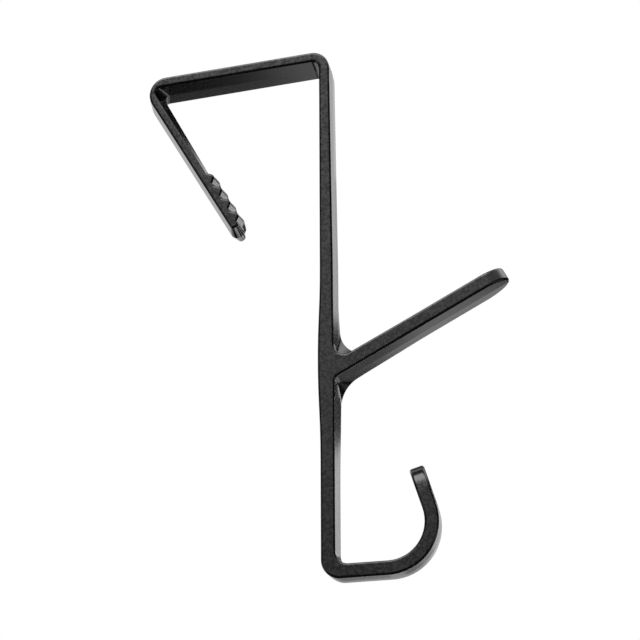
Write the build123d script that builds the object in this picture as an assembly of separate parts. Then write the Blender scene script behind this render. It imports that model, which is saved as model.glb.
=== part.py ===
"""Over-door hook: one strap of black plastic, moulded in a single shot.

A spring clip with a toothed leg sits over the top of a door. The upright hangs down the face of
the door and carries a straight arm at half height and a J hook at its foot. The mould parts on the
middle plane of the strap, so every wall but the bearing face leans in from there to both side faces.
Only round the arm's root do the walls of the far half lean out, into a gusset.

Frame: X points from the door towards the hooks, Y runs across the strap, Z is up. The origin is the
inside corner of the clip, where the top of the door meets its face, on the parting plane.
Sizes across the strap's thickness are taken on the parting plane, where the strap is thickest.
"""

import os
from math import atan2, cos, degrees, radians, sin, tan

from build123d import *

# Strap, in millimetres and degrees
strap_width = 15.2
draft_angle = 1.4
edge_radius = 0.7
blend_length = 4.0

# Clip
beam_span = 47.0
beam_slope = 7.3
beam_thickness = 3.12
leg_angle = 58.4
leg_thickness = 3.9
leg_taper = 1.8
leg_draft_angle = 7.6
leg_end_radius = 1.9
seat_corner_radius = 1.8
crown_corner_radius = 4.8
leg_corner_inner_radius = 1.4
leg_corner_outer_radius = 5.9

# Teeth on the inner side of the leg
tooth_count = 4
tooth_pitch = 4.55
tooth_start = 29.8
tooth_height = 2.0
tooth_ledge_length = 2.0
tooth_flank_length = 1.6
tooth_crest_radius = 1.1
tooth_end_gap = 1.3
tooth_draft_angle = 4.6

# Upright
upright_top_thickness = 3.06
upright_middle_thickness = 3.86
upright_foot_thickness = 4.11
upright_taper_end = 60.0
swell_height = 0.65
swell_length = 54.0

# Arm
arm_drop = 88.05
arm_angle = 29.6
arm_length = 53.9
arm_thickness = 4.25
arm_top_root_radius = 2.7
arm_under_root_radius = 1.4
gusset_top_radius = 6.4
gusset_under_radius = 11.0
gusset_upright_flare = 1.4
gusset_upright_reach = 17.5
gusset_arm_flare = 1.2
gusset_under_flare = 0.55
gusset_arm_reach = 26.0
gusset_near_share = 0.15

# Hook
hook_drop = 144.1
hook_floor_slope = 3.2
hook_gap = 23.95
hook_bowl_radius = 10.5
hook_tip_lean = 18.5
hook_tip_length = 12.0
hook_thickness = 4.28
heel_inner_radius = 3.1
heel_outer_radius = 5.2

# Values that follow from the sizes above
end_radius = strap_width / 2
end_allowance = 2.0


def step(point, heading, distance):
    """The point a distance away from another along a heading."""
    turn = radians(heading)
    return point[0] + distance * cos(turn), point[1] + distance * sin(turn)


def side(point, heading, inset=0.0):
    """A straight side of the outline: the material is on its right, and the inset moves it that way."""
    return step(point, heading - 90.0, inset), heading


def meet(first, second):
    """The corner where two straight sides cross."""
    (x1, z1), heading1 = first
    (x2, z2), heading2 = second
    turn2 = radians(heading2)
    run = ((x2 - x1) * sin(turn2) - (z2 - z1) * cos(turn2)) / sin(turn2 - radians(heading1))
    return step((x1, z1), heading1, run)


def bend(first, second, radius):
    """Start, middle and end of the round between two sides; without a radius it is a soft bend."""
    corner = meet(first, second)
    turn = (second[1] - first[1] + 180.0) % 360.0 - 180.0
    if radius is None:
        radius = blend_length / 2 / tan(radians(abs(turn) / 2))
    reach = radius * tan(radians(abs(turn) / 2))
    depth = radius / cos(radians(turn / 2)) - radius
    inward = first[1] + turn / 2 + (90.0 if turn > 0 else -90.0)
    return step(corner, first[1], -reach), step(corner, inward, depth), step(corner, second[1], reach)


# Places on the parting plane that more than one feature is measured from
leg_heading = -leg_angle
leg_corner = (-beam_span, -beam_span * tan(radians(beam_slope)))
first_foot = step(leg_corner, leg_heading - leg_taper, tooth_start)
leg_tip = step(first_foot, leg_heading, tooth_count * tooth_pitch + tooth_end_gap)
arm_root = (upright_middle_thickness, -arm_drop)
arm_tip = step(arm_root, arm_angle, arm_length)
arm_under = step(arm_root, arm_angle - 90.0, arm_thickness)
under_corner = meet((arm_under, arm_angle), ((upright_foot_thickness, 0.0), -90.0))
hook_floor = (0.0, -hook_drop)
bowl_x = upright_foot_thickness + hook_gap - hook_bowl_radius
bowl_rise = bowl_x * tan(radians(hook_floor_slope)) + hook_bowl_radius / cos(radians(hook_floor_slope))
bowl_center = (bowl_x, bowl_rise - hook_drop)
tip_heading = 90.0 + hook_tip_lean
tip_start = step(bowl_center, hook_tip_lean, hook_bowl_radius)
hook_tip = step(tip_start, tip_heading, hook_tip_length)


def teeth_sides(foot, end_round):
    """Ledge, flank and valley of each tooth, from the first one down the leg to its rounded end.

    The valleys are left sharp where they meet ledge and flank; only the crests are round.
    """
    ledge_turn = degrees(atan2(tooth_height, tooth_ledge_length))
    flank_turn = degrees(atan2(tooth_height, tooth_flank_length))
    sides = []
    for number in range(tooth_count):
        ledge_foot = step(foot, leg_heading, number * tooth_pitch)
        flank_foot = step(ledge_foot, leg_heading, tooth_ledge_length + tooth_flank_length)
        valley_round = 0.0 if number < tooth_count - 1 else end_round
        sides.append((side(ledge_foot, leg_heading + ledge_turn), tooth_crest_radius))
        sides.append((side(flank_foot, leg_heading - flank_turn), 0.0))
        sides.append((side(flank_foot, leg_heading), valley_round))
    return sides


def swell_sides():
    """The bearing face on the door, which stands out in a shallow swell behind the arm's root."""
    quarter = swell_length * 3 / 8
    peak = (-swell_height * 3 / 2, -arm_drop)
    slope = degrees(atan2(-peak[0], quarter))
    radius = 0.95 * swell_length / 8 / tan(radians(slope) / 2)
    return [
        (side((0.0, -arm_drop - quarter), 90.0), radius),
        (side(peak, 90.0 + slope), radius),
        (side(peak, 90.0 - slope), radius),
        (side((0.0, -arm_drop + quarter), 90.0), None),
    ]


def outline(depth, top_root, under_root, share):
    """The hook's profile at a depth from the parting plane, drawn clockwise and moved in by the draft.

    The two radii are those of the arm's root, and the share is how much of the gusset's flare it has.
    """
    inset = depth * tan(radians(draft_angle))
    leg_inset = depth * tan(radians(leg_draft_angle))
    tooth_inset = depth * tan(radians(tooth_draft_angle))

    def grown(radius):
        return max(radius, 2.1 * edge_radius) + inset

    def shrunk(radius, loss=inset):
        return max(radius - loss, 1.2 * edge_radius)

    crown = step((0.0, 0.0), 90.0 + beam_slope, beam_thickness)
    leg_back = step(leg_tip, leg_heading - 90.0, leg_thickness)
    taper_end = (upright_middle_thickness, -upright_taper_end)
    taper_turn = degrees(atan2(upright_middle_thickness - upright_top_thickness, upright_taper_end))
    tip_outer = step(tip_start, hook_tip_lean, hook_thickness)
    floor_under = step(hook_floor, -90.0 + hook_floor_slope, hook_thickness)
    tooth_foot = step(first_foot, leg_heading - 90.0, tooth_inset)
    root_heading = leg_heading - leg_taper * (1.0 - 2.0 * depth / strap_width)
    leg_round = shrunk(leg_end_radius, leg_inset)
    leg_corner_round = shrunk(leg_corner_outer_radius, (inset + leg_inset) / 2)
    past_arm = step(arm_tip, arm_angle, end_allowance)
    past_hook = step(hook_tip, tip_heading, end_allowance)

    upright_turn = degrees(atan2(share * gusset_upright_flare, gusset_upright_reach))
    arm_turn = degrees(atan2(share * gusset_arm_flare, gusset_arm_reach))
    under_turn = degrees(atan2(share * gusset_under_flare, gusset_arm_reach))
    upright_flare = (upright_middle_thickness, gusset_upright_reach - arm_drop)
    arm_flare = step(arm_root, arm_angle, gusset_arm_reach)
    under_flare = step(arm_under, arm_angle, gusset_arm_reach)
    foot_flare = (upright_foot_thickness, under_corner[1] - gusset_arm_reach)
    *swell, bearing = swell_sides()
    sides = [
        *swell,
        (bearing[0], grown(seat_corner_radius)),
        (side((0.0, 0.0), 180.0 + beam_slope, inset), grown(leg_corner_inner_radius)),
        (side(tooth_foot, root_heading), 0.0),
        *teeth_sides(tooth_foot, leg_round),
        (side(leg_tip, leg_heading - 90.0, leg_inset), leg_round),
        (side(leg_back, leg_heading + 180.0, leg_inset), leg_corner_round),
        (side(crown, beam_slope, inset), shrunk(crown_corner_radius)),
        (side(taper_end, -90.0 + taper_turn, inset), None),
        (side(taper_end, -90.0, inset), None),
        (side(upright_flare, -90.0 + upright_turn, inset), grown(top_root)),
        (side(arm_flare, arm_angle - arm_turn, inset), None),
        (side(arm_flare, arm_angle, inset), 0.0),
        (side(past_arm, arm_angle - 90.0), 0.0),
        (side(under_flare, arm_angle + 180.0, inset), None),
        (side(under_flare, arm_angle + 180.0 + under_turn, inset), grown(under_root)),
        (side(foot_flare, -90.0 - under_turn, inset), None),
        (side(foot_flare, -90.0, inset), grown(heel_inner_radius)),
        (side(hook_floor, hook_floor_slope, inset), grown(hook_bowl_radius)),
        (side(tip_start, tip_heading, inset), 0.0),
        (side(past_hook, tip_heading - 90.0), 0.0),
        (side(tip_outer, tip_heading + 180.0, inset), shrunk(hook_bowl_radius + hook_thickness)),
        (side(floor_under, hook_floor_slope + 180.0, inset), shrunk(heel_outer_radius)),
    ]
    bends = [bend(here[0], there[0], here[1]) for here, there in zip(sides, sides[1:] + sides[:1])]
    edges = []
    for last, (before, middle, after) in zip(bends[-1:] + bends[:-1], bends):
        edges.append(Edge.make_line(last[2], before))
        if before != after:
            edges.append(Edge.make_three_point_arc(before, middle, after))
    return Face(Wire(edges))


def end_trim(tip, heading, thickness):
    """What lies outside the full round end of a strap, seen square to its flat."""
    block_length = end_radius + 2 * end_allowance
    block_height = 3 * thickness
    turned = Pos(tip[0], 0, tip[1]) * Rot(0, -heading, 0)
    block = Pos(block_length / 2 - end_radius, 0, 0) * Box(block_length, 2 * strap_width, block_height)
    round_end = Pos(-end_radius, 0, 0) * Cylinder(end_radius, block_height)
    return turned * (block - round_end)


def half(top_root, under_root, share):
    """One half of the hook, on the near side of the parting plane, with its outer edges rounded."""
    depth = strap_width / 2
    parting = Plane.XZ * outline(0.0, arm_top_root_radius, arm_under_root_radius, gusset_near_share)
    flank = Plane.XZ.offset(depth) * outline(depth, top_root, under_root, share)
    walls = loft([parting, flank], ruled=True).faces()
    body = Solid(Shell([Face(wall.outer_wire()) if wall.is_planar else wall for wall in walls]))
    body -= end_trim(arm_tip, arm_angle, 2 * arm_thickness)
    body -= end_trim(hook_tip, tip_heading, 2 * hook_thickness)
    skin = body.faces().filter_by(lambda face: face.normal_at().Y < -0.3)
    skin_edges = [edge for face in skin for edge in face.edges()]
    border = [edge for edge in skin_edges if skin_edges.count(edge) == 1]
    rim = [edge for edge in border if edge.bounding_box().min.Y < -edge_radius]
    return fillet(rim, edge_radius)


near_half = half(arm_top_root_radius, arm_under_root_radius, gusset_near_share)
far_half = mirror(half(gusset_top_radius, gusset_under_radius, 1.0), about=Plane.XZ)
hook = near_half + far_half
hook.label = "over_door_hook"

os.makedirs("parts", exist_ok=True)
export_step(hook, "parts/over_door_hook.step")
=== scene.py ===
import bmesh
import bpy
from mathutils import Matrix, Vector

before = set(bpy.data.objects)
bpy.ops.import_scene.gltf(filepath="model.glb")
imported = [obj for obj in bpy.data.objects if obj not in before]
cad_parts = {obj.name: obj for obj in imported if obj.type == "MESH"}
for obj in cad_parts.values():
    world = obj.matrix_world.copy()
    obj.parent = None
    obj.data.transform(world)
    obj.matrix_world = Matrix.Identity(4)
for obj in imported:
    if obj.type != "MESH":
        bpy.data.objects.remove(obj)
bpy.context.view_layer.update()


# The hook
# One strap of black plastic, moulded in a single shot: spring clip, upright, arm and J hook in one.
# Its two side faces have a satin skin with a fine speckled grain, and the walls between them are smooth.
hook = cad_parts["over_door_hook"]

black_plastic = bpy.data.materials.new("black_plastic")
black_plastic.use_nodes = True
nodes = black_plastic.node_tree.nodes
links = black_plastic.node_tree.links
skin = nodes["Principled BSDF"]
skin.inputs["IOR"].default_value = 1.5
skin.inputs["Specular IOR Level"].default_value = 0.40
skin.inputs["Coat Roughness"].default_value = 0.36

place = nodes.new("ShaderNodeTexCoord")

facing = nodes.new("ShaderNodeSeparateXYZ")
links.new(place.outputs["Normal"], facing.inputs["Vector"])
across = nodes.new("ShaderNodeMath")
across.operation = "ABSOLUTE"
links.new(facing.outputs["Y"], across.inputs[0])
side_face = nodes.new("ShaderNodeMapRange")
side_face.inputs["From Min"].default_value = 0.90
side_face.inputs["From Max"].default_value = 0.99
links.new(across.outputs["Value"], side_face.inputs["Value"])

speckle = nodes.new("ShaderNodeTexNoise")
speckle.inputs["Scale"].default_value = 1500.0
speckle.inputs["Detail"].default_value = 2.0
links.new(place.outputs["Object"], speckle.inputs["Vector"])

grain = nodes.new("ShaderNodeBump")
grain.inputs["Distance"].default_value = 0.00005
grain_depth = nodes.new("ShaderNodeMath")
grain_depth.operation = "MULTIPLY"
grain_depth.inputs[1].default_value = 0.30
links.new(side_face.outputs["Result"], grain_depth.inputs[0])
links.new(grain_depth.outputs["Value"], grain.inputs["Strength"])
links.new(speckle.outputs["Fac"], grain.inputs["Height"])
links.new(grain.outputs["Normal"], skin.inputs["Normal"])

fleck = nodes.new("ShaderNodeMapRange")
fleck.inputs["From Min"].default_value = 0.40
fleck.inputs["From Max"].default_value = 0.60
links.new(speckle.outputs["Fac"], fleck.inputs["Value"])
side_fleck = nodes.new("ShaderNodeMath")
side_fleck.operation = "MULTIPLY"
links.new(fleck.outputs["Result"], side_fleck.inputs[0])
links.new(side_face.outputs["Result"], side_fleck.inputs[1])

tone = nodes.new("ShaderNodeMix")
tone.data_type = "RGBA"
tone.inputs["A"].default_value = (0.004, 0.004, 0.004, 1.0)
tone.inputs["B"].default_value = (0.008, 0.008, 0.008, 1.0)
links.new(side_fleck.outputs["Value"], tone.inputs["Factor"])
links.new(tone.outputs["Result"], skin.inputs["Base Color"])

gloss = nodes.new("ShaderNodeMapRange")
gloss.inputs["To Max"].default_value = 0.6
links.new(side_fleck.outputs["Value"], gloss.inputs["Value"])
links.new(gloss.outputs["Result"], skin.inputs["Coat Weight"])

fleck_sheen = nodes.new("ShaderNodeMapRange")
fleck_sheen.inputs["To Min"].default_value = 0.28
fleck_sheen.inputs["To Max"].default_value = 0.44
links.new(fleck.outputs["Result"], fleck_sheen.inputs["Value"])
sheen = nodes.new("ShaderNodeMix")
sheen.inputs["A"].default_value = 0.20
links.new(side_face.outputs["Result"], sheen.inputs["Factor"])
links.new(fleck_sheen.outputs["Result"], sheen.inputs["B"])
links.new(sheen.outputs["Result"], skin.inputs["Roughness"])

hook.data.materials.clear()
hook.data.materials.append(black_plastic)


# The studio
# A pale floor well below the hanging hook, with a white room around it that the camera sees as plain white.
floor_height = -0.40
floor_half_width = 10.0
floor_mesh = bpy.data.meshes.new("studio_floor")
floor = bpy.data.objects.new("studio_floor", floor_mesh)
bpy.context.scene.collection.objects.link(floor)
bm = bmesh.new()
bmesh.ops.create_grid(bm, x_segments=1, y_segments=1, size=floor_half_width)
bmesh.ops.translate(bm, verts=bm.verts, vec=(0.0, 0.0, floor_height))
bm.to_mesh(floor_mesh)
bm.free()
pale_floor = bpy.data.materials.new("pale_floor")
pale_floor.use_nodes = True
floor_skin = pale_floor.node_tree.nodes["Principled BSDF"]
floor_skin.inputs["Base Color"].default_value = (0.82, 0.82, 0.82, 1.0)
floor_skin.inputs["Roughness"].default_value = 0.9
floor_mesh.materials.append(pale_floor)

room = bpy.data.worlds.new("white_room")
bpy.context.scene.world = room
room.use_nodes = True
room_nodes = room.node_tree.nodes
room_links = room.node_tree.links
room_light = room_nodes["Background"]
room_light.inputs["Color"].default_value = (1.0, 1.0, 1.0, 1.0)
room_light.inputs["Strength"].default_value = 0.6
white_view = room_nodes.new("ShaderNodeBackground")
white_view.inputs["Color"].default_value = (1.0, 1.0, 1.0, 1.0)
white_view.inputs["Strength"].default_value = 1.0
ray = room_nodes.new("ShaderNodeLightPath")
camera_or_glossy = room_nodes.new("ShaderNodeMath")
camera_or_glossy.operation = "MAXIMUM"
room_links.new(ray.outputs["Is Camera Ray"], camera_or_glossy.inputs[0])
room_links.new(ray.outputs["Is Glossy Ray"], camera_or_glossy.inputs[1])
sees_white = room_nodes.new("ShaderNodeMath")
sees_white.operation = "MAXIMUM"
room_links.new(camera_or_glossy.outputs["Value"], sees_white.inputs[0])
room_links.new(ray.outputs["Is Transmission Ray"], sees_white.inputs[1])
choice = room_nodes.new("ShaderNodeMixShader")
room_links.new(sees_white.outputs["Value"], choice.inputs["Fac"])
room_links.new(room_light.outputs["Background"], choice.inputs[1])
room_links.new(white_view.outputs["Background"], choice.inputs[2])
room_links.new(choice.outputs["Shader"], room_nodes["World Output"].inputs["Surface"])


# The black cards
# Cards stand around the hook, seen in reflections only, so that the black plastic mirrors dark sides.
# Each one is an outline on a plane: left, right, front, just above the floor, or behind.
flag_paint = bpy.data.materials.new("flag_black")
flag_paint.use_nodes = True
flag_skin = flag_paint.node_tree.nodes["Principled BSDF"]
flag_skin.inputs["Base Color"].default_value = (0.003, 0.003, 0.003, 1.0)
flag_skin.inputs["Specular IOR Level"].default_value = 0.0
left, right, front, low, rear = -0.70, 0.70, -1.00, -0.39, 1.00
flag_corners = {
    "flag_left": ((left, -1.40, -0.20), (left, 0.35, -0.20), (left, 0.35, 0.45), (left, -1.40, 0.45)),
    "flag_right": ((right, -1.40, -0.15), (right, 0.40, -0.15), (right, 0.40, low), (right, rear, low),
                   (right, rear, 0.45), (right, -1.40, 0.45)),
    "flag_front": ((-0.60, front, low), (0.60, front, low), (0.60, front, -0.03), (-0.60, front, -0.03)),
    "flag_below": ((-0.35, front, low), (right, front, low), (right, rear, low), (0.27, rear, low),
                   (0.27, 1.60, low), (0.06, 1.60, low), (0.06, 0.35, low), (-0.045, 0.35, low),
                   (-0.045, 1.35, low), (-0.35, 1.35, low)),
    "flag_behind": ((-0.60, rear, 0.42), (0.40, rear, 0.42), (0.40, rear, 1.20), (-0.60, rear, 1.20)),
    "flag_behind_middle": ((-0.04, rear, -0.05), (0.05, rear, -0.05), (0.05, rear, 0.28),
                           (-0.04, rear, 0.28)),
    "flag_behind_right": ((0.28, rear, low), (right, rear, low), (right, rear, 0.42), (0.28, rear, 0.42),
                          (0.28, rear, 0.16), (0.05, rear, 0.16), (0.05, rear, 0.05), (0.28, rear, 0.05)),
}
for name, corners in flag_corners.items():
    flag_mesh = bpy.data.meshes.new(name)
    flag = bpy.data.objects.new(name, flag_mesh)
    bpy.context.scene.collection.objects.link(flag)
    bm = bmesh.new()
    bm.faces.new([bm.verts.new(corner) for corner in corners])
    bm.to_mesh(flag_mesh)
    bm.free()
    flag_mesh.materials.append(flag_paint)
    flag.visible_camera = False
    flag.visible_diffuse = False
    flag.visible_shadow = False


# The lamps
# A large soft box stands in front of the hook and above it, and a smaller one high up behind the arm's end.
# Three little ones behind the hook show in reflections only, for the teeth's flanks and the leg's end.
lamps = {
    "key_box": ((-0.12, -0.36, 0.62), (0.80, 0.45), 7.0, True),
    "right_box": ((0.70, 0.48, 0.66), (0.60, 0.60), 1.7, True),
    "teeth_box": ((0.385, 0.98, 0.06), (0.09, 0.12), 0.11, False),
    "leg_box": ((0.128, 0.493, -0.349), (0.14, 0.08), 0.11, False),
    "corner_box": ((0.51, 0.97, -0.31), (0.08, 0.12), 0.06, False),
}
aim = Vector((0.0, 0.0, -0.07))
for name, (spot, size, watts, lights_floor) in lamps.items():
    lamp_data = bpy.data.lights.new(name, "AREA")
    lamp = bpy.data.objects.new(name, lamp_data)
    bpy.context.scene.collection.objects.link(lamp)
    lamp_data.shape = "RECTANGLE"
    lamp_data.size, lamp_data.size_y = size
    lamp_data.energy = watts
    lamp.location = spot
    lamp.rotation_euler = (aim - Vector(spot)).to_track_quat("-Z", "Y").to_euler()
    lamp.visible_camera = False
    lamp.visible_diffuse = lights_floor


# The camera
# It faces the strap's near side, and looks up a little from below the foot and from past the arm's end.
camera_data = bpy.data.cameras.new("camera")
camera = bpy.data.objects.new("camera", camera_data)
bpy.context.scene.collection.objects.link(camera)
camera_data.sensor_width = 36.0
camera_data.lens = 106.875
camera_data.clip_start = 0.01
camera_spot = Vector((0.06144, -0.5188, -0.19511))
camera_back = Vector((0.1161, -0.9675, -0.2247)).normalized()
camera_right = Vector((0.0306, -0.2226, 0.9744)).cross(camera_back).normalized()
camera_up = camera_back.cross(camera_right)
turned = Matrix((camera_right, camera_up, camera_back)).transposed().to_4x4()
camera.matrix_world = Matrix.Translation(camera_spot) @ turned
bpy.context.scene.camera = camera

bpy.context.scene.view_settings.view_transform = "Standard"
